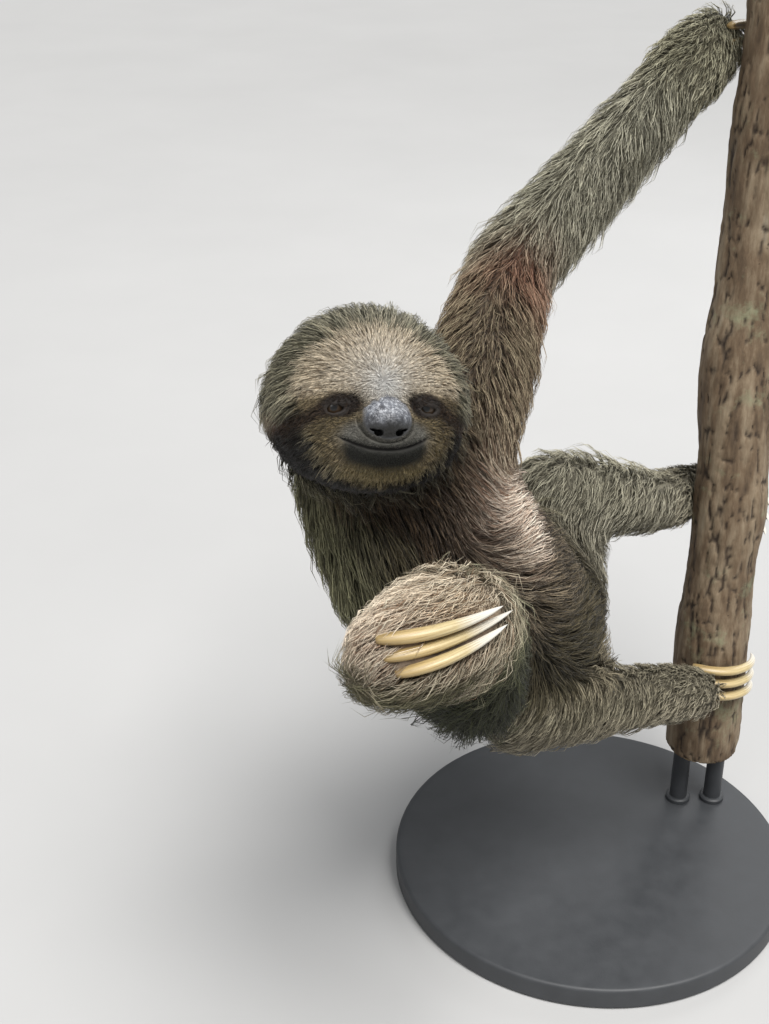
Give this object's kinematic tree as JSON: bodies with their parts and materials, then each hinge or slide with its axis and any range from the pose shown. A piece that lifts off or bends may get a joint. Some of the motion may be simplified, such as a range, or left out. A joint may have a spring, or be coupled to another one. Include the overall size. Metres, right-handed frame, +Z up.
{
  "type": "three-toed sloth",
  "caption": "Life-size brown-throated three-toed sloth, still, clinging to a cut upright length of branch, on a plain round display base.",
  "frame": {"origin": "centre of the underside of the round base, at floor level", "axes": "+Z up; -Y the way the animal's chest faces; +X towards the branch, on the animal's own left"},
  "size_m": [0.3325, 0.4465, 0.5899],
  "materials": {
    "coat": "matte",
    "face_coat": "matte",
    "eye": "gloss",
    "claw": "satin",
    "bark": "matte",
    "stand_paint": "satin"
  },
  "bodies": {
    "root": {"claw_foot_left_inner": "claw", "claw_foot_left_middle": "claw", "claw_foot_left_outer": "claw", "claw_foot_right_inner": "claw", "claw_foot_right_middle": "claw", "claw_foot_right_outer": "claw", "claw_hand_left_inner": "claw", "claw_hand_left_middle": "claw", "claw_hand_left_outer": "claw", "claw_hand_right_inner": "claw", "claw_hand_right_middle": "claw", "claw_hand_right_outer": "claw", "ear_left": "face_coat", "ear_right": "face_coat", "eye_left": "eye", "eye_right": "eye", "foot_left": "coat", "foot_right": "coat", "forearm_left": "coat", "forearm_right": "coat", "hand_left": "coat", "hand_right": "coat", "head": "face_coat", "neck": "coat", "perch_branch": "bark", "shin_left": "coat", "shin_right": "coat", "stand_base": "stand_paint", "stand_rod_left": "stand_paint", "stand_rod_right": "stand_paint", "tail": "coat", "thigh_left": "coat", "thigh_right": "coat", "trunk": "coat", "upper_arm_left": "coat", "upper_arm_right": "coat"}
  },
  "joints": []
}
